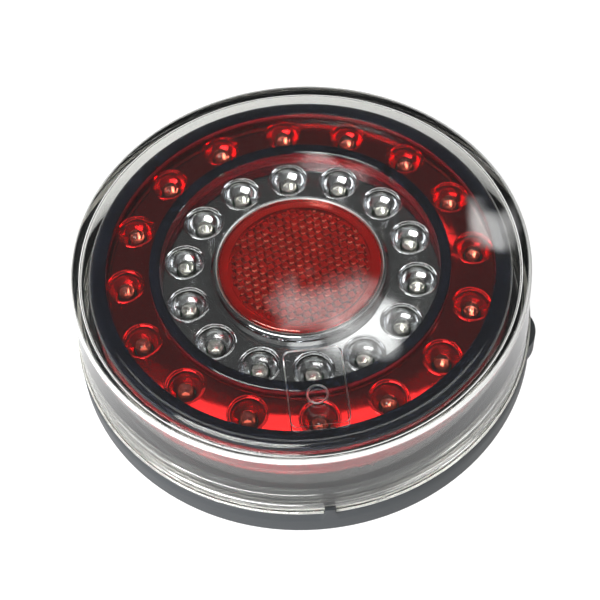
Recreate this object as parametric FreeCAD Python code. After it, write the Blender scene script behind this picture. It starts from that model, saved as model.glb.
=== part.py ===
import FreeCAD, Part
import math
import os

V = FreeCAD.Vector
UP = V(0, 0, 1)

# A round trailer lamp, lying on its back. Millimetres.
# Origin: centre of the back face. +Z points out through the lens, +Y is the lamp's top.

# overall
total_height = 39.3
base_radius = 72.5
base_top_radius = 72.3
base_height = 10.5
floor = 3.0
fit_gap = 0.05             # clearance between pieces that rest on each other

# clear lens
rim_radius = 70.5
rim_round = 1.0
lens_wall = 2.5
lens_face = 2.4
lens_foot_radius = 71.4
flange_radius = 72.2
flange_height = 0.75
tongue_inner = 69.3
tongue_outer = 70.5
tongue_depth = 2.0
pad_width = 16.8
pad_near = 33.4            # distance of the moulded pad's near edge below the lamp's centre
pad_far = 58.6
pad_depth = 0.35
pad_corner = 2.0
pad_ring_centre = 48.5
pad_ring_radius = 3.0

# marks on the seam
tab_angle = -89.75
tab_width = 3.3
tab_rise = 1.7
gate_angle = -77.4
gate_width = 3.2
lug_angle = -13.5
lug_round = 10.0
lug_reach = 74.0
lug_low = 2.0
lug_high = 9.5

# red lens: an upside-down channel with two skirts
red_top = 36.1
red_rim_plate = 2.5
red_window_plate = 1.0
red_outer = 64.9
red_inner = 43.0
red_outer_skirt_wall = 2.0
red_inner_skirt_wall = 1.8
red_outer_skirt_foot = 24.0
shoulder_round = 1.65

# black bands on top of the red lens
band_thickness = 0.7
outer_band_inner = 59.6
inner_band_outer = 46.2

# chrome bezel
bezel_wall = 1.2
outer_land = 33.4
inner_land = 31.6
land_step = 45.0
bezel_radius = 62.2
boss_top = 35.1
boss_top_radius = 26.8
boss_foot_radius = 27.8
boss_pocket_radius = 25.1
cup_depth = 4.5
cup_hole = 2.75
cup_bulge = 0.9
post_circle = 45.0
post_radius = 2.2
post_angles = [33.75, 123.75, 213.75, 303.75]

# light-emitting diodes
led_radius = 2.5
led_flange_radius = 2.9
led_flange = 1.0
led_height = 8.6
lead_side = 0.5
lead_pitch = 2.54
outer_leds = {"count": 16, "circle": 53.8, "cup": 5.7, "land": outer_land, "top": 32.7}
inner_leds = {"count": 14, "circle": 36.1, "cup": 6.0, "land": inner_land, "top": 30.9}

# reflex reflector
reflector_radius = 24.9
reflector_border = 22.0
reflector_top = 35.6
reflector_face = 1.4
backing_thickness = 0.9

# circuit board
board_radius = 60.4
board_top = 20.0
board_thickness = 1.6
board_screw_circle = 45.0
board_screw_angles = [78.75, 168.75, 258.75, 348.75]
screw_shank = 1.2
screw_head_radius = 2.75
screw_head = 2.0
screw_length = 8.0

# base
upstand_inner = 65.4
upstand_outer = 67.6
upstand_top = 18.6
groove_inner = 69.15
groove_outer = 70.65
groove_floor = 7.9
back_recess_inner = 36.0
back_recess_outer = 64.0
back_recess_depth = 1.2
back_ribs = 8
back_rib_width = 3.0
board_post_radius = 4.0

# threaded inserts, on a line through the centre
insert_spacing = 45.0
insert_radius = 3.6
insert_bore = 2.1
insert_length = 10.0
insert_boss_radius = 6.2

# plug socket in the back
socket_width = 24.0
socket_depth = 13.0
socket_corner = 3.0
socket_wall = 2.0
socket_roof = 1.6
socket_height = 13.6
socket_flange = 2.5
socket_flange_thickness = 1.5
socket_gasket_thickness = 0.8
pin_pitch = 4.5
pin_count = 4
pin_width = 1.6
pin_thickness = 0.8
pin_low = 5.5

board_bottom = board_top - board_thickness
lens_underside = total_height - lens_face


def save(name, shape):
    shape.exportStep("parts/" + name + ".step")


def revolve(outline):
    """A full turn about Z of a closed outline. Each entry is a corner (r, z), or a
    triple of points (start, middle, end) for an arc."""
    edges = []
    corners = []
    for item in outline:
        if len(item) == 3:
            start, middle, end = [V(point[0], 0, point[1]) for point in item]
            corners.append((start, end, middle))
        else:
            point = V(item[0], 0, item[1])
            corners.append((point, point, None))
    for index, (start, end, middle) in enumerate(corners):
        if middle is not None:
            edges.append(Part.Arc(start, middle, end).toShape())
        following = corners[(index + 1) % len(corners)][0]
        if end.distanceToPoint(following) > 1e-6:
            edges.append(Part.LineSegment(end, following).toShape())
    face = Part.Face(Part.Wire(edges))
    return face.revolve(V(0, 0, 0), UP, 360)


def rounded_corner(centre, radius, start_angle, end_angle):
    """An arc of an outline, as its start, middle and end points."""
    points = []
    for angle in (start_angle, (start_angle + end_angle) / 2, end_angle):
        turn = math.radians(angle)
        points.append((centre[0] + radius * math.cos(turn), centre[1] + radius * math.sin(turn)))
    return tuple(points)


def tube(outer, inner, low, high):
    ring = Part.makeCylinder(outer, high - low, V(0, 0, low))
    return ring.cut(Part.makeCylinder(inner, high - low + 2, V(0, 0, low - 1)))


def rod(radius, low, high, x=0.0, y=0.0):
    return Part.makeCylinder(radius, high - low, V(x, y, low))


def block(width, depth, low, high, x=0.0, y=0.0):
    return Part.makeBox(width, depth, high - low, V(x - width / 2, y - depth / 2, low))


def rounded_block(width, depth, corner, low, high, x=0.0, y=0.0):
    box = block(width, depth, low, high, x, y)
    upright = [edge for edge in box.Edges if abs(edge.tangentAt(edge.FirstParameter).z) > 0.99]
    return box.makeFillet(corner, upright)


def on_circle(radius, angle):
    turn = math.radians(angle)
    return radius * math.cos(turn), radius * math.sin(turn)


def turned(shape, angle):
    copy = shape.copy()
    copy.rotate(V(0, 0, 0), UP, angle)
    return copy


def led_angles(ring):
    """Angles of a ring's diodes, clockwise from the lamp's top."""
    return [90 - index * 360 / ring["count"] for index in range(ring["count"])]


def joined(shapes):
    return shapes[0].fuse(shapes[1:]).removeSplitter()


def outer_lens():
    foot = base_height + fit_gap
    shoulder = foot + flange_height
    corner = rounded_corner((rim_radius - rim_round, total_height - rim_round), rim_round, 90, 0)
    inner_round = lens_wall - rim_round
    wall_top = rim_radius - lens_wall
    inside = rounded_corner((wall_top - inner_round, lens_underside - inner_round), inner_round, 0, 90)
    cup = revolve([
        (0, total_height),
        corner,
        (lens_foot_radius, shoulder),
        (flange_radius, shoulder),
        (flange_radius, foot),
        (tongue_outer, foot),
        (tongue_outer, foot - tongue_depth),
        (tongue_inner, foot - tongue_depth),
        (tongue_inner, foot),
        (lens_foot_radius - lens_wall, foot),
        inside,
        (0, lens_underside),
    ])
    pad_length = pad_far - pad_near
    pad_centre = -(pad_near + pad_far) / 2
    pad = rounded_block(pad_width, pad_length, pad_corner, total_height - pad_depth,
                        total_height + 1, 0, pad_centre)
    ring_outer = rod(pad_ring_radius + 0.3, total_height - pad_depth, total_height - 0.1, 0, -pad_ring_centre)
    ring_inner = rod(pad_ring_radius - 0.3, 0, total_height + 1, 0, -pad_ring_centre)
    notch = block(flange_radius, tab_width + 0.2, foot - 1, foot + tab_rise + 0.1)
    notch.translate(V(tongue_outer + 0.25 + flange_radius / 2, 0, 0))
    gate = block(1.6, gate_width, foot, foot + 1.6, flange_radius - 0.7, 0)
    lens = cup.cut([pad, turned(notch, tab_angle)])
    return joined([lens, ring_outer.cut(ring_inner), turned(gate, gate_angle)])


def red_lens():
    shoulder_centre = (red_outer - band_thickness - fit_gap - shoulder_round, red_top - shoulder_round)
    shoulder = rounded_corner(shoulder_centre, shoulder_round, 90, 0)
    step = shoulder_centre[1] - fit_gap
    underside = red_top - red_rim_plate
    window = underside + red_window_plate
    outer_wall = red_outer - red_outer_skirt_wall
    inner_wall = red_inner + red_inner_skirt_wall
    foot = inner_land + fit_gap
    return revolve([
        (red_inner, foot),
        (red_inner, red_top),
        (inner_band_outer, red_top),
        (inner_band_outer, window),
        (outer_band_inner, window),
        (outer_band_inner, red_top),
        shoulder,
        (shoulder[2][0], step),
        (red_outer, step),
        (red_outer, red_outer_skirt_foot),
        (outer_wall, red_outer_skirt_foot),
        (outer_wall, underside),
        (inner_wall, underside),
        (inner_wall, foot),
    ])


def outer_black_band():
    low = red_top + fit_gap
    centre = (red_outer - band_thickness - fit_gap - shoulder_round, red_top - shoulder_round)
    inner_round = shoulder_round + fit_gap
    outside = rounded_corner(centre, inner_round + band_thickness, 90, 0)
    inside = rounded_corner(centre, inner_round, 0, 90)
    return revolve([(outer_band_inner, low), (outer_band_inner, low + band_thickness), outside, inside])


def inner_black_band():
    low = red_top + fit_gap
    return tube(inner_band_outer, red_inner, low, low + band_thickness)


def cup_outline(ring, grow):
    """Half outline of a diode's cup, from the land's level down; grow thickens it all round."""
    rim = ring["cup"] + grow
    hole = cup_hole + grow
    middle = ((rim + hole) / 2 + cup_bulge, -cup_depth / 2)
    wall = ((rim, 0), middle, (hole, -cup_depth))
    return [(0, 0), wall, (hole, -cup_depth - grow), (0, -cup_depth - grow)]


def at_diodes(ring, shape, level):
    placed = []
    for angle in led_angles(ring):
        x, y = on_circle(ring["circle"], angle)
        copy = shape.copy()
        copy.translate(V(x, y, level))
        placed.append(copy)
    return placed


def chrome_bezel():
    under_outer = outer_land - bezel_wall
    under_inner = inner_land - bezel_wall
    shell = revolve([
        (0, inner_land),
        (boss_pocket_radius, inner_land),
        (boss_pocket_radius, boss_top),
        (boss_top_radius, boss_top),
        (boss_foot_radius, inner_land),
        (land_step, inner_land),
        (land_step, outer_land),
        (bezel_radius - 0.3, outer_land),
        (bezel_radius, outer_land - 0.3),
        (bezel_radius, floor + fit_gap),
        (bezel_radius - bezel_wall, floor + fit_gap),
        (bezel_radius - bezel_wall, under_outer),
        (land_step - bezel_wall, under_outer),
        (land_step - bezel_wall, under_inner),
        (0, under_inner),
    ])
    solids = []
    hollows = []
    for ring in (outer_leds, inner_leds):
        solids += at_diodes(ring, revolve(cup_outline(ring, bezel_wall)), ring["land"])
        hollow = revolve(cup_outline(ring, 0)).fuse(rod(ring["cup"], 0, 1))
        shaft = rod(cup_hole, -cup_depth - 2 * bezel_wall, -cup_depth)
        hollows += at_diodes(ring, hollow.fuse(shaft), ring["land"])
    for angle in post_angles:
        x, y = on_circle(post_circle, angle)
        solids.append(rod(post_radius, board_top + fit_gap, under_inner + bezel_wall / 2, x, y))
        hollows.append(rod(screw_shank, board_top - 1, board_top + screw_length, x, y))
    # the shell's seam is turned half round, clear of the posts and cups
    return turned(shell, 180).fuse(solids).cut(hollows).removeSplitter()


def reflex_reflector():
    low = inner_land + 2 * fit_gap + backing_thickness
    disc = rod(reflector_radius, low, reflector_top)
    return disc.cut(rod(reflector_border, low - 1, reflector_top - reflector_face))


def reflector_backing():
    return rod(reflector_radius, inner_land + fit_gap, inner_land + fit_gap + backing_thickness)


def led(ring):
    low = ring["top"] - led_height
    dome = rounded_corner((0, ring["top"] - led_radius), led_radius, 0, 90)
    return revolve([
        (0, low),
        (led_flange_radius, low),
        (led_flange_radius, low + led_flange),
        (led_radius, low + led_flange),
        dome,
    ])


def leads_of(ring):
    """Both legs of every diode in a ring, through the board."""
    legs = []
    for angle in led_angles(ring):
        for side in (-1, 1):
            leg = block(lead_side, lead_side, board_bottom - 1.0, ring["top"] - led_height, ring["circle"], 0)
            leg.translate(V(0, side * lead_pitch / 2, 0))
            legs.append(turned(leg, angle))
    return legs


def pin_places():
    first = -(pin_count - 1) / 2 * pin_pitch
    return [first + index * pin_pitch for index in range(pin_count)]


def circuit_board():
    holes = []
    for ring in (outer_leds, inner_leds):
        for angle in led_angles(ring):
            for side in (-1, 1):
                hole = rod(0.45, board_bottom - 1, board_top + 1, ring["circle"], side * lead_pitch / 2)
                holes.append(turned(hole, angle))
    for angle in post_angles:
        holes.append(rod(1.5, board_bottom - 1, board_top + 1, *on_circle(post_circle, angle)))
    for angle in board_screw_angles:
        holes.append(rod(1.5, board_bottom - 1, board_top + 1, *on_circle(board_screw_circle, angle)))
    for x in pin_places():
        holes.append(rod(1.0, board_bottom - 1, board_top + 1, x, 0))
    return rod(board_radius, board_bottom, board_top).cut(holes)


def under_board(width, depth, height, places):
    """Surface-mount pieces hanging from the board's back."""
    return [block(width, depth, board_bottom - height, board_bottom, x, y) for x, y in places]


def resistors():
    places = [on_circle(28.0, 20 + 35 * index) for index in range(10)]
    return under_board(3.2, 1.6, 0.6, places)


def protection_diodes():
    return under_board(4.2, 2.6, 2.2, [(-9.0, 13.0), (0.0, 13.0), (9.0, 13.0)])


def voltage_regulators():
    return under_board(6.6, 6.1, 2.3, [(-8.0, -14.0), (8.0, -14.0)])


def smoothing_capacitors():
    return [rod(3.15, board_bottom - 5.4, board_bottom, x, 21.0) for x in (-6.0, 6.0)]


def screws(circle, angles, head_side):
    """Pan-head screws through the board. head_side is +1 above it and -1 below it."""
    pieces = []
    for angle in angles:
        x, y = on_circle(circle, angle)
        face = board_top if head_side > 0 else board_bottom
        far = face - head_side * screw_length
        head_end = face + head_side * screw_head
        shank = rod(screw_shank - fit_gap, min(face, far), max(face, far), x, y)
        head = rod(screw_head_radius, min(face, head_end), max(face, head_end), x, y)
        rim = head.Edges[0] if head_side > 0 else head.Edges[2]
        head = head.makeFillet(0.8, [rim])
        slot = block(0.7, 2.6, min(head_end, head_end - head_side), max(head_end, head_end - head_side), x, y)
        cross = block(2.6, 0.7, min(head_end, head_end - head_side), max(head_end, head_end - head_side), x, y)
        pieces.append(head.cut([slot, cross]).fuse(shank))
    return pieces


def socket_shell():
    body = rounded_block(socket_width, socket_depth, socket_corner, 0, socket_height)
    flange_low = floor + socket_gasket_thickness
    flange = rounded_block(socket_width + 2 * socket_flange, socket_depth + 2 * socket_flange,
                           socket_corner + socket_flange, flange_low, flange_low + socket_flange_thickness)
    mouth = rounded_block(socket_width - 2 * socket_wall, socket_depth - 2 * socket_wall,
                          socket_corner - socket_wall / 2, -1, socket_height - socket_roof)
    key = block(3.0, 1.0, 0, socket_height - socket_roof, 0, socket_depth / 2 - socket_wall)
    slots = [block(pin_width, pin_thickness, 0, socket_height + 1, x, 0) for x in pin_places()]
    return body.fuse(flange).cut(mouth).fuse(key).cut(slots)


def socket_gasket():
    outer = rounded_block(socket_width + 2 * socket_flange, socket_depth + 2 * socket_flange,
                          socket_corner + socket_flange, floor, floor + socket_gasket_thickness)
    hole = rounded_block(socket_width + 2 * fit_gap, socket_depth + 2 * fit_gap, socket_corner,
                         floor - 1, floor + 2)
    return outer.cut(hole)


def contact_pins():
    return [block(pin_width, pin_thickness, pin_low, board_top + 1.0, x, 0) for x in pin_places()]


def mounting_inserts():
    pieces = []
    for side in (-1, 1):
        x = side * insert_spacing / 2
        sleeve = rod(insert_radius, 0, insert_length, x, 0)
        groove = tube(insert_radius + 1, insert_radius - 0.5, 4.0, 6.0)
        groove.translate(V(x, 0, 0))
        bore = rod(insert_bore, -1, insert_length + 1, x, 0)
        pieces.append(sleeve.cut([groove, bore]))
    return pieces


def lens_seal_bead():
    low = groove_floor
    high = base_height + fit_gap - tongue_depth
    return tube(groove_outer - fit_gap, groove_inner + fit_gap, low, high - fit_gap)


def back_recess():
    """The shallow ring sunk in the back face, with radial ribs left standing."""
    ring = tube(back_recess_outer, back_recess_inner, -1, back_recess_depth)
    ribs = []
    for index in range(back_ribs):
        length = back_recess_outer - back_recess_inner + 4
        rib = block(length, back_rib_width, -2, back_recess_depth + 1)
        rib.translate(V((back_recess_outer + back_recess_inner) / 2, 0, 0))
        ribs.append(turned(rib, (index + 0.5) * 360 / back_ribs))
    return ring.cut(ribs)


def base_housing():
    bottom = rounded_corner((base_radius - 0.8, 0.8), 0.8, -90, 0)
    tray = revolve([
        (0, 0),
        bottom,
        (base_top_radius, base_height - 0.3),
        (base_top_radius - 0.3, base_height),
        (groove_outer, base_height),
        (groove_outer, groove_floor),
        (groove_inner, groove_floor),
        (groove_inner, base_height),
        (upstand_outer, base_height),
        (upstand_outer, upstand_top - 0.4),
        (upstand_outer - 0.4, upstand_top),
        (upstand_inner, upstand_top),
        (upstand_inner, floor),
        (0, floor),
    ])
    solids = []
    hollows = [back_recess()]
    for angle in board_screw_angles:
        x, y = on_circle(board_screw_circle, angle)
        solids.append(rod(board_post_radius, floor - 1, board_bottom, x, y))
        hollows.append(rod(screw_shank, board_top - screw_length - 1, board_top, x, y))
    for side in (-1, 1):
        x = side * insert_spacing / 2
        solids.append(rod(insert_boss_radius, floor - 1, insert_length + 2.5, x, 0))
        hollows.append(rod(insert_radius, -1, insert_length, x, 0))
    hollows.append(rounded_block(socket_width + 2 * fit_gap, socket_depth + 2 * fit_gap, socket_corner,
                                 -1, floor + 1))
    tab_reach = base_top_radius - tongue_outer - 0.3
    tab = block(tab_reach, tab_width, base_height - 1, base_height + tab_rise,
                tongue_outer + 0.3 + tab_reach / 2, 0)
    solids.append(turned(tab, tab_angle))
    lug = rod(lug_round, lug_low, lug_high, lug_reach - lug_round, 0)
    lug = lug.cut(rod(base_top_radius - 1.0, 0, base_height + 1))
    solids.append(turned(lug, lug_angle))
    return tray.fuse(solids).cut(hollows).removeSplitter()


def main():
    os.makedirs("parts", exist_ok=True)
    save("base_housing", base_housing())
    save("outer_lens", outer_lens())
    save("lens_seal_bead", lens_seal_bead())
    save("red_lens", red_lens())
    save("outer_black_band", outer_black_band())
    save("inner_black_band", inner_black_band())
    save("chrome_bezel", chrome_bezel())
    save("reflex_reflector", reflex_reflector())
    save("reflector_backing", reflector_backing())
    for name, ring in (("stop_tail", outer_leds), ("indicator", inner_leds)):
        for index, shape in enumerate(at_diodes(ring, led(ring), 0)):
            save(f"{name}_led_{index + 1:02d}", shape)
        save(name + "_led_leads", Part.makeCompound(leads_of(ring)))
    save("circuit_board", circuit_board())
    save("resistors", Part.makeCompound(resistors()))
    save("protection_diodes", Part.makeCompound(protection_diodes()))
    save("voltage_regulators", Part.makeCompound(voltage_regulators()))
    save("smoothing_capacitors", Part.makeCompound(smoothing_capacitors()))
    save("board_screws", Part.makeCompound(screws(board_screw_circle, board_screw_angles, 1)))
    save("bezel_screws", Part.makeCompound(screws(post_circle, post_angles, -1)))
    save("connector_socket", socket_shell())
    save("socket_gasket", socket_gasket())
    save("contact_pins", Part.makeCompound(contact_pins()))
    save("mounting_inserts", Part.makeCompound(mounting_inserts()))


main()
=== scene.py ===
"""A round trailer tail light, lying on its back on a pale floor."""
import math

import bmesh
import bpy
from mathutils import Matrix, Vector


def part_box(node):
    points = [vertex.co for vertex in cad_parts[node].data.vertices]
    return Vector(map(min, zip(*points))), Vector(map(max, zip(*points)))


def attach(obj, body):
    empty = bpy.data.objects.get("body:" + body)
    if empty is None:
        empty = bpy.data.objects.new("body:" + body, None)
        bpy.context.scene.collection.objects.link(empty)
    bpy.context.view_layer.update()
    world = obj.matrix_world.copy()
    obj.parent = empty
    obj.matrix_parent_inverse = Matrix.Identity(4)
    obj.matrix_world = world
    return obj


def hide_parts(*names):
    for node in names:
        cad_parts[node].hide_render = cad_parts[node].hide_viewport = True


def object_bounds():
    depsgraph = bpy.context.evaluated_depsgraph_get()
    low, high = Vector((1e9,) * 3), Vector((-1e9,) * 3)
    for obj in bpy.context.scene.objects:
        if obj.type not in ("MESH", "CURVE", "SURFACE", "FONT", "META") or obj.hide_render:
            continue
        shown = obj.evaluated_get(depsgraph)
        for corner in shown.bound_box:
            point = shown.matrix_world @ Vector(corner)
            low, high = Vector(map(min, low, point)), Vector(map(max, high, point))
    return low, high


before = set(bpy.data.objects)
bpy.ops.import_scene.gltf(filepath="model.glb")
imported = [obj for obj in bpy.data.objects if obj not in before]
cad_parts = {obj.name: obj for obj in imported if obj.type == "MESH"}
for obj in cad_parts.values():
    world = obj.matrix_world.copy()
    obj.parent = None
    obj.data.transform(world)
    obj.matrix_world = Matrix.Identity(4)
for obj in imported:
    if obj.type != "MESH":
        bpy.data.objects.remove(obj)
cad_low, cad_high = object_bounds()

MM = 0.001
FULL_TURN = 2 * math.pi
HAIR = 0.01 * MM  # two heights closer than this count as one

# ---- sizes, in metres, taken from the frame where it has them ----

lens_low, lens_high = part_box("outer_lens")
red_low, red_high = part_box("red_lens")
_, inner_band_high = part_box("inner_black_band")
bezel_low, bezel_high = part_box("chrome_bezel")
reflector_low, reflector_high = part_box("reflex_reflector")

RIM_RADIUS = 70.5 * MM
RIM_ROUND = 1.0 * MM
PAD_LIMIT = 66.0 * MM  # the pad lies wholly within this radius
LENS_TOP = lens_high.z
LENS_WALL = 2.5 * MM
LENS_FACE = 2.4 * MM
LENS_FOOT_RADIUS = 71.4 * MM
FLANGE_RADIUS = lens_high.x
FLANGE_HEIGHT = 0.75 * MM
TONGUE_INNER = 69.3 * MM
TONGUE_OUTER = 70.5 * MM
TONGUE_DEPTH = 2.0 * MM
LENS_FOOT = lens_low.z + TONGUE_DEPTH

PAD_WIDTH = 16.8 * MM
PAD_LENGTH = 25.2 * MM
PAD_CENTRE = -46.0 * MM
PAD_DEPTH = 0.35 * MM
PAD_RING = 3.0 * MM
PAD_RING_Y = -48.5 * MM
TAB_WIDTH = 3.3 * MM
TAB_RISE = 1.8 * MM
GATE_WIDTH = 3.2 * MM
GATE_ANGLE = -77.4

RED_OUTER = red_high.x
RED_INNER = 43.0 * MM
RED_TOP = red_high.z
RED_RIM_PLATE = 2.5 * MM
RED_WINDOW_PLATE = 1.0 * MM
RED_FOOT = red_low.z
BAND_THICKNESS = 0.7 * MM
OUTER_BAND_INNER = 59.6 * MM
INNER_BAND_OUTER = inner_band_high.x
SHOULDER_ROUND = 1.65 * MM
GAP = 0.05 * MM

BEZEL_RADIUS = bezel_high.x
BEZEL_WALL = 1.2 * MM
OUTER_LAND = 33.4 * MM
INNER_LAND = 31.6 * MM
LAND_STEP = 45.0 * MM
LAND_BEND = 3.1  # drop of the outer land per metre squared, beyond the step
BOSS_TOP_RADIUS = 26.8 * MM
BOSS_FOOT_RADIUS = 27.8 * MM
BOSS_POCKET = 25.1 * MM
BOSS_ROUND = 0.7 * MM
CUP_DEPTH = 4.5 * MM
CUP_BULGE = 0.9 * MM
CUP_HOLE = 2.75 * MM

LED_RADIUS = 2.5 * MM
LED_FLANGE_RADIUS = 2.9 * MM
LED_FLANGE = 1.0 * MM
LEAD_PITCH = 2.54 * MM

REFLECTOR_RADIUS = reflector_high.x
REFLECTOR_TOP = reflector_high.z
PRISM_FIELD = 22.0 * MM
REFLECTOR_FACE = 1.4 * MM
PRISM_PITCH = 2.7 * MM
# Size of each painted highlight (glint) on the reflector's prisms.
PAINTED_GLINT_WIDTH = 1.3 * MM
PAINTED_GLINT_HEIGHT = 0.55 * MM

RINGS = {
    "stop_tail": {"count": 16, "circle": 53.8 * MM, "cup": 5.7 * MM, "land": OUTER_LAND},
    "indicator": {"count": 14, "circle": 36.1 * MM, "cup": 6.0 * MM, "land": INNER_LAND},
}


# ---- shader trees ----

class Value:
    """A socket in a shader tree. Arithmetic on it adds Math nodes."""

    def __init__(self, tree, socket):
        self.tree = tree
        self.socket = socket

    def maths(self, operation, first, second):
        return self.tree.node("ShaderNodeMath", {"operation": operation}, {0: first, 1: second})

    def __add__(self, other):
        return self.maths("ADD", self, other)

    __radd__ = __add__

    def __sub__(self, other):
        return self.maths("SUBTRACT", self, other)

    def __mul__(self, other):
        return self.maths("MULTIPLY", self, other)

    __rmul__ = __mul__

    def __truediv__(self, other):
        return self.maths("DIVIDE", self, other)

    def __gt__(self, other):
        return self.maths("GREATER_THAN", self, other)

    def __lt__(self, other):
        return self.maths("LESS_THAN", self, other)


class Tree:
    """A shader tree under construction."""

    def __init__(self, owner):
        owner.use_nodes = True
        self.nodes = owner.node_tree.nodes
        self.links = owner.node_tree.links
        self.nodes.clear()

    def node(self, kind, settings=None, inputs=None, output=0):
        """Adds a node and gives one of its outputs, if it has any. Inputs are numbers or Values to link."""
        made = self.nodes.new(kind)
        for name, value in (settings or {}).items():
            setattr(made, name, value)
        for key, value in (inputs or {}).items():
            if isinstance(value, Value):
                self.links.new(value.socket, made.inputs[key])
            else:
                made.inputs[key].default_value = value
        return Value(self, made.outputs[output]) if made.outputs else None

    def place(self):
        return self.node("ShaderNodeTexCoord", output="Object")

    def height(self):
        return self.node("ShaderNodeSeparateXYZ", inputs={0: self.place()}, output="Z")

    def flat_place(self):
        """Place with its height taken away."""
        return self.node("ShaderNodeVectorMath", {"operation": "MULTIPLY"}, {0: self.place(), 1: (1, 1, 0)})

    def radius(self):
        """Distance from the lamp's upright axis."""
        return self.node("ShaderNodeVectorMath", {"operation": "LENGTH"}, {0: self.flat_place()}, "Value")

    def noise(self, scale, detail=3.0, stretch=(1, 1, 1), distortion=0.0):
        spread = self.node("ShaderNodeMapping", inputs={"Vector": self.place(), "Scale": stretch})
        return self.node("ShaderNodeTexNoise", inputs={
            "Vector": spread, "Scale": scale, "Detail": detail, "Distortion": distortion})

    def between(self, value, low, high, to_low=0.0, to_high=1.0):
        return self.node("ShaderNodeMapRange", {"clamp": True}, {
            "Value": value, "From Min": low, "From Max": high, "To Min": to_low, "To Max": to_high})

    def uneven(self, low, high, scale, detail=3.0, stretch=(1, 1, 1)):
        """Noise spread from low to high."""
        return self.between(self.noise(scale, detail, stretch), 0.3, 0.8, low, high)

    def mix(self, factor, first, second):
        return self.node("ShaderNodeMix", {"data_type": "RGBA"}, {0: factor, 6: first, 7: second}, 2)

    def bump(self, height, strength, distance):
        return self.node("ShaderNodeBump", inputs={
            "Height": height, "Strength": strength, "Distance": distance})


def colour(red, green, blue):
    return (red, green, blue, 1.0)


def finish_of(name, recipe):
    """A material from recipe(tree), which gives a shader's inputs, the inputs of a second one that lies
    over it, and how much that one covers. The last two may be None."""
    material = bpy.data.materials.new(name)
    tree = Tree(material)
    under, over, cover = recipe(tree)
    shader = tree.node("ShaderNodeBsdfPrincipled", inputs=under)
    if over:
        upper = tree.node("ShaderNodeBsdfPrincipled", inputs=over)
        shader = tree.node("ShaderNodeMixShader", inputs={0: cover, 1: shader, 2: upper})
    tree.node("ShaderNodeOutputMaterial", inputs={"Surface": shader})
    return material


def clear_polycarbonate(tree):
    """Clear and glossy, with matt slopes round the pad and a finely scuffed rim."""
    handling = tree.noise(38.0, 4.0)
    flow = tree.noise(16.0, 2.0, (1, 1, 0.35), 0.6)
    radius = tree.radius()
    height = tree.height()
    slopes = (height > LENS_TOP - PAD_DEPTH + HAIR) * (height < LENS_TOP - HAIR) * (radius < PAD_LIMIT)
    scuffs = (tree.between(radius, RIM_RADIUS - 1.3 * MM, RIM_RADIUS - 0.6 * MM) *
              tree.between(height, LENS_TOP - 1.8 * MM, LENS_TOP - 0.9 * MM))
    clear = {
        "Base Color": colour(0.88, 0.885, 0.865),
        "Roughness": tree.between(handling, 0.35, 0.75, 0.0, 0.02) + 0.3 * slopes,
        "Transmission Weight": 1.0,
        "IOR": 1.585,
        "Normal": tree.bump(flow, 0.012, 0.2 * MM),
    }
    scuffed = {"Base Color": colour(0.88, 0.885, 0.865), "Roughness": 0.5}
    return clear, scuffed, 0.36 * scuffs


def weld_frost(tree):
    """Whitish plastic where the foot was melted on to the base."""
    return {
        "Base Color": tree.mix(tree.noise(180.0), colour(0.70, 0.69, 0.65), colour(0.84, 0.83, 0.79)),
        "Roughness": 0.6,
    }, None, None


def red_acrylic(tree):
    """Deep red on the skirts and steps, and paler over the diodes."""
    radius = tree.radius()
    window = (radius > INNER_BAND_OUTER + 0.1 * MM) * (radius < OUTER_BAND_INNER - 0.1 * MM)
    flow = tree.noise(22.0, 2.0)
    deep = {
        "Base Color": colour(0.50, 0.022, 0.035),
        "Roughness": tree.between(flow, 0.3, 0.8, 0.10, 0.14),
        "Transmission Weight": 0.65,
        "Specular IOR Level": 0.2,
        "IOR": 1.49,
    }
    pale = {
        "Base Color": colour(0.98, 0.92, 0.92),
        "Roughness": tree.between(flow, 0.3, 0.8, 0.0, 0.03),
        "Transmission Weight": 1.0,
        "IOR": 1.49,
    }
    return deep, pale, window


def black_gloss(tree):
    orange_peel = tree.noise(260.0, 2.0)
    return {
        "Base Color": colour(0.008, 0.010, 0.018),
        "Roughness": tree.uneven(0.03, 0.06, 60.0),
        "IOR": 1.5,
        "Normal": tree.bump(orange_peel, 0.04, 0.1 * MM),
    }, None, None


def bright_chrome(tree):
    """Mirror plating, satin on the round inside the boss's top."""
    ripple = tree.noise(70.0, 2.0)
    radius = tree.radius()
    satin = (radius > BOSS_POCKET - 0.1 * MM) * (radius < BOSS_POCKET + BOSS_ROUND)
    cups = tree.height() < INNER_LAND - 0.4 * MM
    return {
        "Base Color": tree.mix(satin, colour(0.50, 0.51, 0.53), colour(0.9, 0.9, 0.9)),
        "Metallic": 1.0,
        "Roughness": tree.uneven(0.03, 0.10, 45.0, 4.0) + satin * 0.28 + cups * 0.08,
        "Normal": tree.bump(ripple, 0.05, 0.15 * MM),
    }, None, None


def red_lacquered_chrome(tree):
    """Red lacquer on plating, less polished down in the cups."""
    cups = tree.height() < OUTER_LAND - 1.5 * MM
    ripple = tree.noise(70.0, 2.0)
    return {
        "Base Color": tree.mix(tree.noise(30.0), colour(0.64, 0.010, 0.009), colour(0.56, 0.008, 0.010)),
        "Metallic": 1.0,
        "Roughness": tree.uneven(0.03, 0.08, 45.0, 4.0) + cups * 0.20,
        "Coat Weight": 0.2,
        "Coat Roughness": 0.03,
        "Normal": tree.bump(ripple, 0.05, 0.15 * MM),
    }, None, None


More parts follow.
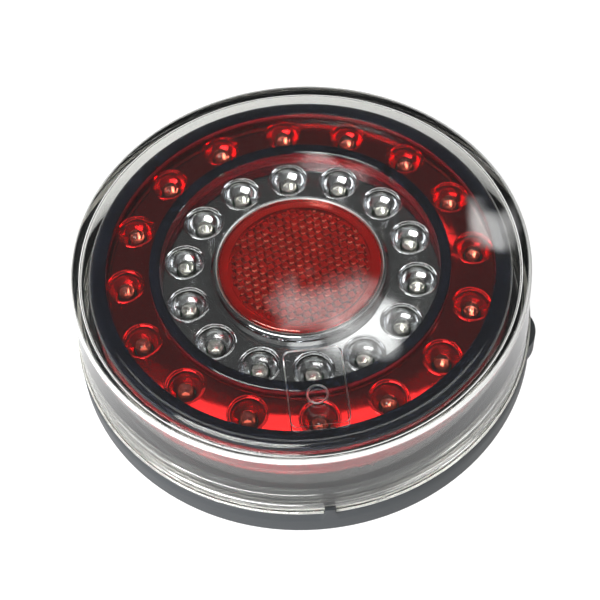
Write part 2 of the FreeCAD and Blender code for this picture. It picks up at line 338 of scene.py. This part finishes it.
def painted_prism_glints(tree):
    """1 on a short painted highlight at each prism's corner, 0 elsewhere; it stands in for the reflector's
    glints. The corners lie on two rectangular grids, half a step apart."""
    steps = {"X": math.sqrt(3) * PRISM_PITCH, "Y": PRISM_PITCH}
    painted_glint_sizes = {"X": PAINTED_GLINT_WIDTH, "Y": PAINTED_GLINT_HEIGHT}
    total = 0.0
    for shift in (0.0, 0.5):
        inside = 1.0
        for axis, step in steps.items():
            along = tree.node("ShaderNodeSeparateXYZ", inputs={0: tree.place()}, output=axis) / step + shift
            nearest = tree.node("ShaderNodeMath", {"operation": "ROUND"}, {0: along})
            offset = tree.node("ShaderNodeMath", {"operation": "ABSOLUTE"}, {0: along - nearest})
            inside = inside * (offset < painted_glint_sizes[axis] / 2 / step)
        total = total + inside
    return total


def red_reflex(tree):
    """Clear red, paler on the face. The prisms behind it scatter a little, and at each prism's corner a
    light colour is painted as a highlight that stands in for their glints.
    """
    radius = tree.radius()
    prisms = (radius < PRISM_FIELD - 0.1 * MM) * (tree.height() < REFLECTOR_TOP - REFLECTOR_FACE - 0.05 * MM)
    behind = tree.height() < REFLECTOR_TOP - 0.3 * MM
    # Painted highlight: a light colour at each prism's corner stands in for the reflector's glints.
    painted_glint = prisms * painted_prism_glints(tree) * tree.between(tree.noise(110.0, 1.0), 0.40, 0.62, 0.2, 1.0)
    clear = {
        "Base Color": tree.mix(behind, colour(0.95, 0.26, 0.21), colour(0.84, 0.022, 0.016)),
        "Roughness": tree.uneven(0.0, 0.04, 90.0),
        "Transmission Weight": 1.0,
        "IOR": 1.49,
    }
    # Diffuse red scatter over the prisms, with the painted highlights at their corners.
    scatter_and_painted_glints = {
        "Base Color": tree.mix(painted_glint, colour(0.88, 0.03, 0.022), colour(1.0, 0.72, 0.58)),
        "Roughness": 0.5,
    }
    return clear, scatter_and_painted_glints, prisms * 0.16 + painted_glint * 0.8


def white_card(tree):
    return {
        "Base Color": tree.mix(tree.noise(120.0), colour(0.66, 0.64, 0.62), colour(0.74, 0.72, 0.70)),
        "Roughness": 0.4,
    }, None, None


def clear_epoxy(tree):
    return {
        "Base Color": colour(0.90, 0.91, 0.88),
        "Roughness": tree.uneven(0.02, 0.08, 300.0),
        "Transmission Weight": 0.82,
        "IOR": 1.53,
    }, None, None


def red_epoxy(tree):
    return {
        "Base Color": colour(0.95, 0.20, 0.13),
        "Roughness": tree.uneven(0.03, 0.08, 300.0),
        "Transmission Weight": 0.80,
        "IOR": 1.53,
    }, None, None


def bright_silver(tree):
    return {
        "Base Color": colour(0.86, 0.85, 0.80),
        "Metallic": 1.0,
        "Roughness": tree.uneven(0.12, 0.28, 800.0),
    }, None, None


def charcoal_plastic(tree):
    grain = tree.noise(2600.0, 2.0)
    cloud = tree.noise(35.0, 4.0)
    return {
        "Base Color": tree.mix(cloud, colour(0.012, 0.014, 0.016), colour(0.017, 0.019, 0.021)),
        "Roughness": tree.between(cloud, 0.3, 0.8, 0.45, 0.60),
        "Specular IOR Level": 0.32,
        "Normal": tree.bump(grain, 0.25, 0.06 * MM),
    }, None, None


def black_plastic(tree):
    return {
        "Base Color": tree.mix(tree.noise(50.0), colour(0.018, 0.018, 0.02), colour(0.03, 0.03, 0.033)),
        "Roughness": 0.4,
        "Normal": tree.bump(tree.noise(1800.0), 0.2, 0.05 * MM),
    }, None, None


def green_laminate(tree):
    weave = tree.noise(900.0, 2.0)
    return {
        "Base Color": tree.mix(weave, colour(0.015, 0.10, 0.035), colour(0.03, 0.16, 0.06)),
        "Roughness": 0.35,
    }, None, None


def turned_brass(tree):
    return {
        "Base Color": tree.mix(tree.noise(220.0), colour(0.62, 0.44, 0.18), colour(0.78, 0.60, 0.30)),
        "Metallic": 1.0,
        "Roughness": tree.uneven(0.18, 0.35, 700.0, 3.0, (1, 1, 8)),
    }, None, None


def plated_steel(tree):
    return {
        "Base Color": tree.mix(tree.noise(300.0), colour(0.55, 0.55, 0.53), colour(0.7, 0.7, 0.68)),
        "Metallic": 1.0,
        "Roughness": tree.uneven(0.2, 0.4, 500.0),
    }, None, None


def soft_rubber(tree):
    return {
        "Base Color": tree.mix(tree.noise(80.0), colour(0.012, 0.012, 0.012), colour(0.022, 0.022, 0.022)),
        "Roughness": 0.7,
    }, None, None


MATERIALS = {recipe.__name__: finish_of(recipe.__name__, recipe) for recipe in (
    clear_polycarbonate, weld_frost, red_acrylic, black_gloss, bright_chrome, red_lacquered_chrome,
    red_reflex, white_card, clear_epoxy, red_epoxy,
    bright_silver, charcoal_plastic, black_plastic, green_laminate, turned_brass, plated_steel, soft_rubber)}


# ---- mesh helpers ----

def arc(centre_r, centre_z, radius, start, end, count):
    """Points of an outline along an arc; start and end are in degrees."""
    points = []
    for index in range(count + 1):
        turn = math.radians(start + (end - start) * index / count)
        points.append((centre_r + radius * math.cos(turn), centre_z + radius * math.sin(turn)))
    return points


def spin(mesh, outline, steps, closed=False, centre=(0.0, 0.0)):
    """Spins an outline of (r, z) points a full turn about an upright axis at centre."""
    points = [mesh.verts.new((centre[0] + r, centre[1], z)) for r, z in outline]
    edges = [mesh.edges.new(pair) for pair in zip(points, points[1:])]
    if closed:
        edges.append(mesh.edges.new((points[-1], points[0])))
    bmesh.ops.spin(mesh, geom=points + edges, cent=(centre[0], centre[1], 0.0), axis=(0, 0, 1),
                   angle=FULL_TURN, steps=steps, use_merge=True, use_duplicate=False)


def weld(mesh, distance=0.002 * MM):
    """Joins points that lie together."""
    bmesh.ops.remove_doubles(mesh, verts=mesh.verts, dist=distance)
    bmesh.ops.dissolve_degenerate(mesh, edges=mesh.edges, dist=distance / 2)


def outward(mesh):
    bmesh.ops.recalc_face_normals(mesh, faces=mesh.faces)


def object_of(mesh, name, materials, sharp=35.0, level=0.9999):
    """An object with the mesh, which is used up, shaded as shade() says."""
    data = bpy.data.meshes.new(name)
    mesh.to_mesh(data)
    mesh.free()
    for material in materials:
        data.materials.append(MATERIALS[material])
    piece = bpy.data.objects.new(name, data)
    bpy.context.scene.collection.objects.link(piece)
    shade(data, sharp, level)
    return piece


def shade(data, sharp, level=0.9999):
    """Shades a mesh smooth, but for edges sharper than an angle in degrees and for the rims of level faces,
    which are those whose normal's upright part is over level."""
    data.polygons.foreach_set("use_smooth", [True] * len(data.polygons))
    data.set_sharp_from_angle(angle=math.radians(sharp))
    beside = {}
    for face in data.polygons:
        for key in face.edge_keys:
            beside.setdefault(key, set()).add(abs(face.normal.z) > level)
    for edge in data.edges:
        if len(beside.get(edge.key, ())) > 1:
            edge.use_edge_sharp = True
    data.update()


def carve(piece, cutter, operation):
    """Applies a Boolean of cutter to piece; cutter is used up."""
    change = piece.modifiers.new("carve", "BOOLEAN")
    change.operation = operation
    change.solver = "EXACT"
    change.object = cutter
    settled = bpy.data.meshes.new_from_object(piece.evaluated_get(bpy.context.evaluated_depsgraph_get()))
    piece.modifiers.clear()
    piece.data = settled
    bpy.data.objects.remove(cutter)


def stands_for(piece, node):
    """Puts piece on the lamp's one body in place of a CAD node."""
    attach(piece, "root")
    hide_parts(node)
    return piece


def block(mesh, width, depth, low, high, x=0.0, y=0.0, corner=0.0):
    """An upright block; corner rounds its four upright edges."""
    box = bmesh.ops.create_cube(mesh, size=1.0)["verts"]
    bmesh.ops.scale(mesh, vec=(width, depth, high - low), verts=box)
    bmesh.ops.translate(mesh, vec=(x, y, (low + high) / 2), verts=box)
    if corner:
        upright = [edge for edge in mesh.edges if edge.verts[0] in box and
                   abs(edge.verts[0].co.z - edge.verts[1].co.z) > (high - low) / 2]
        bmesh.ops.bevel(mesh, geom=upright, offset=corner, segments=6, profile=0.5,
                        affect="EDGES", material=-1)
    return box


def places_of(ring):
    """Each diode's angle and place, clockwise from the lamp's top."""
    for index in range(ring["count"]):
        angle = math.pi / 2 - FULL_TURN * index / ring["count"]
        yield index + 1, angle, ring["circle"] * math.cos(angle), ring["circle"] * math.sin(angle)


def smoothed_node(node, material, sharp=30.0):
    """A CAD node's own shape, with its triangles joined so that round faces shade as round."""
    mesh = bmesh.new()
    mesh.from_mesh(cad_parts[node].data)
    bmesh.ops.remove_doubles(mesh, verts=mesh.verts, dist=0.0005 * MM)
    return stands_for(object_of(mesh, "made_" + node, [material], sharp), node)


# ---- the lens and what lies right under it ----

def make_outer_lens():
    """The clear cup with its foot, pad, notch and gate mark."""
    shoulder = LENS_FOOT + FLANGE_HEIGHT
    underside = LENS_TOP - LENS_FACE
    inner_round = LENS_WALL - RIM_ROUND
    wall_top = RIM_RADIUS - LENS_WALL
    outline = [(0.0, LENS_TOP)]
    outline += arc(RIM_RADIUS - RIM_ROUND, LENS_TOP - RIM_ROUND, RIM_ROUND, 90, 0, 8)
    outline += [
        (LENS_FOOT_RADIUS, shoulder + 0.3 * MM),
        (LENS_FOOT_RADIUS + 0.1 * MM, shoulder),
        (FLANGE_RADIUS - 0.15 * MM, shoulder),
        (FLANGE_RADIUS, shoulder - 0.15 * MM),
        (FLANGE_RADIUS, LENS_FOOT),
        (LENS_FOOT_RADIUS + 0.2 * MM, LENS_FOOT),
        (TONGUE_OUTER, LENS_FOOT),
        (TONGUE_OUTER, LENS_FOOT - TONGUE_DEPTH),
        (TONGUE_INNER, LENS_FOOT - TONGUE_DEPTH),
        (TONGUE_INNER, LENS_FOOT),
        (LENS_FOOT_RADIUS - LENS_WALL, LENS_FOOT),
    ]
    outline += arc(wall_top - inner_round, underside - inner_round, inner_round, 0, 90, 8)
    outline.append((0.0, underside))
    mesh = bmesh.new()
    spin(mesh, outline, 256)
    weld(mesh)
    outward(mesh)
    lens = object_of(mesh, "outer_lens_shell", ["clear_polycarbonate", "weld_frost"])
    carve(lens, pad_cutter(), "DIFFERENCE")
    carve(lens, notch_cutter(), "DIFFERENCE")
    carve(lens, pad_ring(), "UNION")
    carve(lens, gate_mark(), "UNION")
    for face in lens.data.polygons:
        on_tongue = face.center.z < LENS_FOOT - HAIR
        on_foot = face.center.z < LENS_FOOT + HAIR
        under_flange = on_foot and face.center.xy.length > LENS_FOOT_RADIUS + 0.1 * MM
        face.material_index = int(on_tongue or under_flange)
    shade(lens.data, 35.0)
    return stands_for(lens, "outer_lens")


def pad_cutter():
    """The pad's hollow, with sloping sides."""
    mesh = bmesh.new()
    floor = LENS_TOP - PAD_DEPTH
    block(mesh, PAD_WIDTH, PAD_LENGTH, floor, LENS_TOP + PAD_DEPTH, 0.0, PAD_CENTRE, 2.0 * MM)
    for point in mesh.verts:
        if point.co.z > LENS_TOP:
            point.co.x *= 1 + 4 * PAD_DEPTH / PAD_WIDTH
            point.co.y = PAD_CENTRE + (point.co.y - PAD_CENTRE) * (1 + 4 * PAD_DEPTH / PAD_LENGTH)
    outward(mesh)
    return object_of(mesh, "cutter", [])


def notch_cutter():
    """Room in the lens's flange for the base's tab."""
    mesh = bmesh.new()
    block(mesh, TAB_WIDTH + 0.2 * MM, 2.0 * MM, LENS_FOOT - MM, LENS_FOOT + TAB_RISE,
          0.0, -(LENS_FOOT_RADIUS + 1.05 * MM))
    outward(mesh)
    return object_of(mesh, "cutter", [])


def pad_ring():
    """The plain raised ring inside the pad."""
    floor = LENS_TOP - PAD_DEPTH
    outline = [(PAD_RING - 0.35 * MM, floor - 0.1 * MM)]
    outline += [(PAD_RING + r, floor + z) for r, z in arc(0.0, 0.0, 0.3 * MM, 180, 0, 8)]
    outline.append((PAD_RING + 0.35 * MM, floor - 0.1 * MM))
    mesh = bmesh.new()
    spin(mesh, outline, 48, closed=True, centre=(0.0, PAD_RING_Y))
    weld(mesh)
    outward(mesh)
    return object_of(mesh, "cutter", [])


def gate_mark():
    """The rough little block on the foot where the moulding was filled."""
    mesh = bmesh.new()
    block(mesh, 0.5 * MM, GATE_WIDTH, LENS_FOOT + 0.3 * MM, LENS_FOOT + 1.6 * MM, FLANGE_RADIUS - 0.35 * MM)
    bmesh.ops.bevel(mesh, geom=mesh.edges[:], offset=0.15 * MM, segments=2, profile=0.5,
                    affect="EDGES", material=-1)
    bmesh.ops.rotate(mesh, cent=(0, 0, 0), matrix=Matrix.Rotation(math.radians(GATE_ANGLE), 3, "Z"),
                     verts=mesh.verts)
    outward(mesh)
    return object_of(mesh, "cutter", [])


def shoulder_centre():
    """Where the red lens's shoulder and the outer band over it have their arcs' centre, as (r, z)."""
    return RED_OUTER - BAND_THICKNESS - GAP - SHOULDER_ROUND, RED_TOP - SHOULDER_ROUND


def make_red_lens():
    """The channel over the outer diodes: thick rims, a thin window between them, and two skirts."""
    centre = shoulder_centre()
    underside = RED_TOP - RED_RIM_PLATE
    window = underside + RED_WINDOW_PLATE
    skirt_inside = RED_OUTER - 2.0 * MM
    inner_skirt = RED_INNER + 1.8 * MM
    foot = INNER_LAND + GAP
    outline = [
        (RED_INNER, foot),
        (RED_INNER, RED_TOP),
        (INNER_BAND_OUTER, RED_TOP),
        (INNER_BAND_OUTER, window),
        (OUTER_BAND_INNER, window),
        (OUTER_BAND_INNER, RED_TOP),
    ]
    outline += arc(*centre, SHOULDER_ROUND, 90, 0, 6)
    outline += [
        (centre[0] + SHOULDER_ROUND, centre[1] - GAP),
        (RED_OUTER, centre[1] - GAP),
        (RED_OUTER, RED_FOOT),
        (skirt_inside, RED_FOOT),
        (skirt_inside, underside),
        (inner_skirt, underside),
        (inner_skirt, foot),
    ]
    mesh = bmesh.new()
    spin(mesh, outline, 192, closed=True)
    weld(mesh)
    outward(mesh)
    return stands_for(object_of(mesh, "red_lens_channel", ["red_acrylic"]), "red_lens")


def make_black_bands():
    """The trim on the red lens: a band that wraps over its shoulder, and a flat one inside."""
    centre = shoulder_centre()
    low = RED_TOP + GAP
    inner_round = SHOULDER_ROUND + GAP
    outline = [(OUTER_BAND_INNER, low), (OUTER_BAND_INNER, low + BAND_THICKNESS)]
    outline += arc(*centre, inner_round + BAND_THICKNESS, 90, 0, 8)
    outline += arc(*centre, inner_round, 0, 90, 8)
    mesh = bmesh.new()
    spin(mesh, outline, 192, closed=True)
    weld(mesh)
    outward(mesh)
    stands_for(object_of(mesh, "outer_band_ring", ["black_gloss"]), "outer_black_band")
    edge = 0.15 * MM
    mesh = bmesh.new()
    spin(mesh, [
        (RED_INNER, low),
        (RED_INNER, low + BAND_THICKNESS - edge),
        (RED_INNER + edge, low + BAND_THICKNESS),
        (INNER_BAND_OUTER - edge, low + BAND_THICKNESS),
        (INNER_BAND_OUTER, low + BAND_THICKNESS - edge),
        (INNER_BAND_OUTER, low),
    ], 160, closed=True)
    outward(mesh)
    stands_for(object_of(mesh, "inner_band_ring", ["black_gloss"]), "inner_black_band")


# ---- the chrome bezel ----

def cup_outline(ring):
    """A diode's bowl from its double raised lip down to the hole, as (r, z)."""
    rim = ring["cup"]
    land = ring["land"]
    lips = ((0.55, 0.0), (0.40, 0.12), (0.25, 0.16), (0.10, 0.10), (0.0, -0.12), (-0.08, -0.34),
            (-0.22, -0.42), (-0.36, -0.38), (-0.46, -0.42), (-0.52, -0.60))
    outline = [(rim + out * MM, land + up * MM) for out, up in lips]
    mouth, top = outline[-1]
    bottom = land - CUP_DEPTH
    steps = 14
    for index in range(1, steps + 1):
        share = index / steps
        radius = mouth + (CUP_HOLE - mouth) * share + 4 * CUP_BULGE * share * (1 - share)
        outline.append((radius, top + (bottom - top) * share))
    return outline


def split_long_land(mesh):
    """Adds points along the outer land's long edges, so that it can be bent smoothly."""
    for _ in range(2):
        long = [edge for edge in mesh.edges if edge.calc_length() > 3 * MM and not edge.is_boundary and
                all(abs(point.co.z - OUTER_LAND) < HAIR for point in edge.verts)]
        bmesh.ops.subdivide_edges(mesh, edges=long, cuts=2)
        bmesh.ops.triangulate(mesh, faces=[face for face in mesh.faces if len(face.verts) > 4])


def make_bezel():
    """One skin with a boss, two lands and a cup for each diode, thickened to a plated moulding."""
    mesh = bmesh.new()
    boss_top = bezel_high.z
    soft = 0.15 * MM
    boss = [(0.0, INNER_LAND), (BOSS_POCKET, INNER_LAND)]
    boss += arc(BOSS_POCKET + BOSS_ROUND, boss_top - BOSS_ROUND, BOSS_ROUND, 180, 90, 6)
    boss += [
        (BOSS_TOP_RADIUS - soft, boss_top),
        (BOSS_TOP_RADIUS, boss_top - soft),
        (BOSS_TOP_RADIUS, INNER_LAND + 0.6 * MM),
        (BOSS_FOOT_RADIUS, INNER_LAND),
    ]
    spin(mesh, boss, 160)
    spin(mesh, [(LAND_STEP, INNER_LAND), (LAND_STEP, OUTER_LAND)], 160)
    spin(mesh, [
        (BEZEL_RADIUS - 0.3 * MM, OUTER_LAND),
        (BEZEL_RADIUS, OUTER_LAND - 0.3 * MM),
        (BEZEL_RADIUS, bezel_low.z),
    ], 160)
    for ring in RINGS.values():
        for _, _, x, y in places_of(ring):
            spin(mesh, cup_outline(ring), 48, centre=(x, y))
    weld(mesh)
    for level in (INNER_LAND, OUTER_LAND):
        rims = [edge for edge in mesh.edges if edge.is_boundary and
                all(abs(point.co.z - level) < HAIR for point in edge.verts)]
        bmesh.ops.triangle_fill(mesh, edges=rims, use_beauty=True, use_dissolve=False)
    weld(mesh)
    outward(mesh)
    land = [face for face in mesh.faces if abs(face.calc_center_median().z - OUTER_LAND) < HAIR]
    if land[0].normal.z < 0:
        bmesh.ops.reverse_faces(mesh, faces=mesh.faces)
    split_long_land(mesh)
    for point in mesh.verts:
        point.co.z -= LAND_BEND * max(0.0, point.co.xy.length - LAND_STEP) ** 2
    for face in mesh.faces:
        face.material_index = int(face.calc_center_median().xy.length > LAND_STEP - HAIR)
    bezel = object_of(mesh, "bezel_shell", ["bright_chrome", "red_lacquered_chrome"], 40.0, 0.985)
    wall = bezel.modifiers.new("wall", "SOLIDIFY")
    wall.thickness = BEZEL_WALL
    wall.offset = -1.0
    return stands_for(bezel, "chrome_bezel")


# ---- the diodes ----

def make_diodes(name, ring, epoxy):
    """A ring of round diodes, each one its own piece."""
    for number, _, x, y in places_of(ring):
        node = f"{name}_led_{number:02d}"
        low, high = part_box(node)
        outline = [
            (0.0, low.z),
            (LED_FLANGE_RADIUS, low.z),
            (LED_FLANGE_RADIUS, low.z + LED_FLANGE),
            (LED_RADIUS, low.z + LED_FLANGE),
        ]
        outline += arc(0.0, high.z - LED_RADIUS, LED_RADIUS, 0, 90, 12)
        mesh = bmesh.new()
        spin(mesh, outline, 40, centre=(x, y))
        weld(mesh)
        outward(mesh)
        diode = object_of(mesh, f"{name}_diode_{number:02d}", [epoxy])
        stands_for(diode, node)


def make_lead_frames(name, ring):
    """Each diode's two legs, with the dished post that holds the die and the slimmer post beside it."""
    low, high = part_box(name + "_led_leads")
    mesh = bmesh.new()
    base = high.z
    dish = base + 5.3 * MM
    half = LEAD_PITCH / 2
    side = 0.5 * MM
    for _, angle, x, y in places_of(ring):
        start = len(mesh.verts)
        for across in (-half, half):
            block(mesh, side, side, low.z, base + 2.2 * MM, 0.0, across)
        block(mesh, side, 1.5 * MM, base + 2.2 * MM, dish - 0.9 * MM, 0.0, -half + 0.4 * MM)
        block(mesh, side, 1.1 * MM, base + 2.2 * MM, dish - 0.1 * MM, 0.0, half - 0.1 * MM)
        spin(mesh, [
            (0.0, dish - 1.1 * MM),
            (0.70 * MM, dish - 1.1 * MM),
            (1.30 * MM, dish),
            (1.15 * MM, dish),
            (0.55 * MM, dish - 0.6 * MM),
            (0.0, dish - 0.6 * MM),
        ], 24, centre=(0.0, -0.2 * MM))
        mesh.verts.ensure_lookup_table()
        fresh = mesh.verts[start:]
        turn = Matrix.Translation((x, y, 0)) @ Matrix.Rotation(angle, 4, "Z")
        bmesh.ops.transform(mesh, matrix=turn, verts=fresh)
    weld(mesh, 0.001 * MM)
    outward(mesh)
    frames = object_of(mesh, name + "_lead_frames", ["bright_silver"], 30.0)
    return stands_for(frames, name + "_led_leads")


# ---- the reflex reflector ----

def prism_field(mesh, level):
    """The back of a reflector: corner cubes on a triangular lattice, walled up to level at their edge.
    Each corner sits at one of three depths, which its place on the lattice gives."""
    side = PRISM_PITCH / math.sqrt(3)
    drop = side / math.sqrt(2)
    deepest = reflector_low.z + GAP
    count = 2 * math.ceil(1.3 * PRISM_FIELD / side)
    bmesh.ops.create_grid(mesh, x_segments=count, y_segments=count, size=count / 2)
    bmesh.ops.triangulate(mesh, faces=mesh.faces, quad_method="SHORT_EDGE")
    for point in mesh.verts:
        across, along = round(point.co.x), round(point.co.y)
        place = (side * (across + along / 2), side * along * math.sqrt(3) / 2)
        point.co = (*place, deepest + drop * ((across - along) % 3))
    outer = [face for face in mesh.faces
             if max(point.co.xy.length for point in face.verts) > PRISM_FIELD - 0.2 * MM]
    bmesh.ops.delete(mesh, geom=outer, context="FACES")
    edge = [line for line in mesh.edges if line.is_boundary]
    risen = bmesh.ops.extrude_edge_only(mesh, edges=edge)["geom"]
    for part in risen:
        if isinstance(part, bmesh.types.BMVert):
            part.co.z = level


def make_reflector():
    """The centre reflector: a flat face, an edge, and the prisms on its back."""
    level = REFLECTOR_TOP - REFLECTOR_FACE
    soft = 0.2 * MM
    mesh = bmesh.new()
    prism_field(mesh, level)
    spin(mesh, [
        (0.0, REFLECTOR_TOP),
        (REFLECTOR_RADIUS - soft, REFLECTOR_TOP),
        (REFLECTOR_RADIUS, REFLECTOR_TOP - soft),
        (REFLECTOR_RADIUS, reflector_low.z),
        (PRISM_FIELD, reflector_low.z),
        (PRISM_FIELD, level),
    ], 128)
    weld(mesh)
    rims = [line for line in mesh.edges if line.is_boundary]
    bmesh.ops.triangle_fill(mesh, edges=rims, use_beauty=True, use_dissolve=False)
    outward(mesh)
    reflector = object_of(mesh, "prism_reflector", ["red_reflex"], 8.0)
    return stands_for(reflector, "reflex_reflector")


make_outer_lens()
make_red_lens()
make_black_bands()
make_bezel()
for ring_name, epoxy, slot in (
    ("stop_tail", "red_epoxy", "red_led_epoxy"),
    ("indicator", "clear_epoxy", "clear_led_epoxy"),
):
    make_diodes(ring_name, RINGS[ring_name], epoxy)
    make_lead_frames(ring_name, RINGS[ring_name])
make_reflector()
for node, material, slot in (
    ("base_housing", "charcoal_plastic", "base_plastic"),
    ("lens_seal_bead", "soft_rubber", "seal_compound"),
    ("reflector_backing", "white_card", "white_backing"),
    ("circuit_board", "green_laminate", "board_laminate"),
    ("resistors", "black_plastic", "component_black"),
    ("protection_diodes", "black_plastic", "component_black"),
    ("voltage_regulators", "black_plastic", "component_black"),
    ("smoothing_capacitors", "plated_steel", "capacitor_can"),
    ("board_screws", "plated_steel", "screw_steel"),
    ("bezel_screws", "plated_steel", "screw_steel"),
    ("connector_socket", "black_plastic", "socket_plastic"),
    ("socket_gasket", "soft_rubber", "gasket_rubber"),
    ("contact_pins", "bright_silver", "tinned_steel"),
    ("mounting_inserts", "turned_brass", "insert_brass"),
):
    smoothed_node(node, material)


# ---- camera, floor and light ----

def make_camera():
    """Stands at the side that is the lamp's bottom when mounted, looking down on the face."""
    azimuth = math.radians(-2.92)
    elevation = math.radians(53.95)
    roll = math.radians(-3.97)
    distance = 6.687 * RIM_RADIUS
    lift, shift = 0.02723, 0.00039  # slopes by which the view's centre misses the target
    target = Vector((0, 0, LENS_TOP))
    back = Vector((math.sin(azimuth) * math.cos(elevation), -math.cos(azimuth) * math.cos(elevation),
                   math.sin(elevation)))
    side = (-back).cross(Vector((0, 0, 1))).normalized()
    up = side.cross(-back)
    right = math.cos(roll) * side + math.sin(roll) * up
    top = math.cos(roll) * up - math.sin(roll) * side
    aim = (shift * right - lift * top - back).normalized()
    right = (right - right.dot(aim) * aim).normalized()
    top = right.cross(aim)
    camera = bpy.data.objects.new("camera", bpy.data.cameras.new("camera"))
    bpy.context.scene.collection.objects.link(camera)
    camera.location = target + back * distance
    camera.rotation_euler = Matrix((right, top, -aim)).transposed().to_euler()
    camera.data.sensor_width = 36.0
    camera.data.lens = 92.778
    camera.data.clip_start = 0.01
    bpy.context.scene.camera = camera


def make_floor():
    """A pale floor that glows evenly, a little more on the left, with a soft shadow under the lamp."""
    mesh = bmesh.new()
    bmesh.ops.create_grid(mesh, x_segments=8, y_segments=8, size=4.0)
    bmesh.ops.translate(mesh, vec=(0, 0, cad_low.z - 0.02 * MM), verts=mesh.verts)
    data = bpy.data.meshes.new("floor")
    mesh.to_mesh(data)
    mesh.free()
    floor = bpy.data.objects.new("floor", data)
    bpy.context.scene.collection.objects.link(floor)
    material = bpy.data.materials.new("pale_floor")
    tree = Tree(material)
    across = tree.node("ShaderNodeSeparateXYZ", inputs={0: tree.place()}, output="X")
    shadow_centre = (6 * MM, 23 * MM, 0)
    from_shadow = tree.node("ShaderNodeVectorMath", {"operation": "DISTANCE"},
                            {0: tree.flat_place(), 1: shadow_centre}, "Value")
    glow = 0.97 + tree.between(across, -20 * MM, -150 * MM, 0.0, 0.35)
    shadow = tree.between(from_shadow, 71 * MM, 58 * MM, 0.0, 0.5)
    shader = tree.node("ShaderNodeBsdfPrincipled", inputs={
        "Base Color": colour(0.1, 0.1, 0.1), "Roughness": 0.9, "Specular IOR Level": 0.0,
        "Emission Color": glow - shadow, "Emission Strength": 1.0})
    tree.node("ShaderNodeOutputMaterial", inputs={"Surface": shader})
    data.materials.append(material)


def window_of_light(tree, direction, azimuth, elevation, wide, high, edge):
    """1 inside a rectangle of the sky, falling to 0 over edge degrees; azimuth runs from +X to +Y."""
    turn, rise = math.radians(azimuth), math.radians(elevation)
    centre = Vector((math.cos(turn) * math.cos(rise), math.sin(turn) * math.cos(rise), math.sin(rise)))
    across = centre.cross(Vector((0, 0, 1))).normalized()
    up = across.cross(centre)

    def along(axis):
        return tree.node("ShaderNodeVectorMath", {"operation": "DOT_PRODUCT"},
                         {0: direction, 1: tuple(axis)}, "Value")

    ahead = along(centre)
    inside = ahead > 0.0
    for axis, size in ((across, wide), (up, high)):
        offset = tree.node("ShaderNodeMath", {"operation": "ABSOLUTE"}, {0: along(axis) / ahead})
        half = math.tan(math.radians(size / 2))
        inside = inside * tree.node("ShaderNodeMapRange", {"interpolation_type": "SMOOTHSTEP"}, {
            "Value": offset, "From Min": half + math.radians(edge), "From Max": half})
    return inside


def make_studio():
    """A dim room. Each light has its strength, then its azimuth, elevation, width, height and soft edge in
    degrees."""
    lights = (
        (22.0, 233, 30, 44, 42, 4),  # a tall bright window at the front left
        (0.2, 268, 45, 100, 60, 20),  # a weak broad fill in front
        (1.3, 267, 54, 16, 16, 6),  # a small fill near the camera
        (4.0, 82, 75.2, 50, 19, 0.7),  # a soft light overhead
        (0.8, 90, 8, 150, 20, 4),  # a pale wall behind
    )
    panes = (
        (2.0, 85.6, 55.9, 2.2, 0.8, 0.9),
        (2.5, 82.8, 56.9, 1.4, 0.7, 0.8),
        (3.6, 75.2, 52.7, 0.8, 0.6, 0.8),
    )
    world = bpy.data.worlds.new("studio")
    bpy.context.scene.world = world
    tree = Tree(world)
    direction = tree.node("ShaderNodeTexCoord", output="Generated")
    strength = 0.10
    for radiance, *window in lights:
        strength = strength + radiance * window_of_light(tree, direction, *window)
    # The small panes high at the back look clouded: their edges waver and their light is mottled.
    cloud = tree.node("ShaderNodeTexNoise", inputs={"Vector": direction, "Scale": 22.0, "Detail": 4.0})
    mottle = tree.between(cloud, 0.3, 0.7, 0.75, 1.15)
    drift = tree.node("ShaderNodeTexNoise", inputs={"Vector": direction, "Scale": 30.0, "Detail": 2.0},
                      output="Color")
    sway = tree.node("ShaderNodeVectorMath", {"operation": "SUBTRACT"}, {0: drift, 1: (0.5, 0.5, 0.5)})
    bent = tree.node("ShaderNodeVectorMath", {"operation": "MULTIPLY_ADD"},
                     {0: sway, 1: (0.045, 0.045, 0.045), 2: direction})
    for radiance, *window in panes:
        strength = strength + radiance * mottle * window_of_light(tree, bent, *window)
    light = tree.node("ShaderNodeBackground", inputs={"Color": colour(1, 1, 1), "Strength": strength})
    backdrop = tree.node("ShaderNodeBackground", inputs={"Color": colour(1, 1, 1), "Strength": 1.0})
    seen = tree.node("ShaderNodeLightPath", output="Is Camera Ray")
    mixed = tree.node("ShaderNodeMixShader", inputs={0: seen, 1: light, 2: backdrop})
    tree.node("ShaderNodeOutputWorld", inputs={"Surface": mixed})


make_camera()
make_floor()
make_studio()
bpy.context.scene.view_settings.view_transform = "Standard"

bpy.context.view_layer.update()
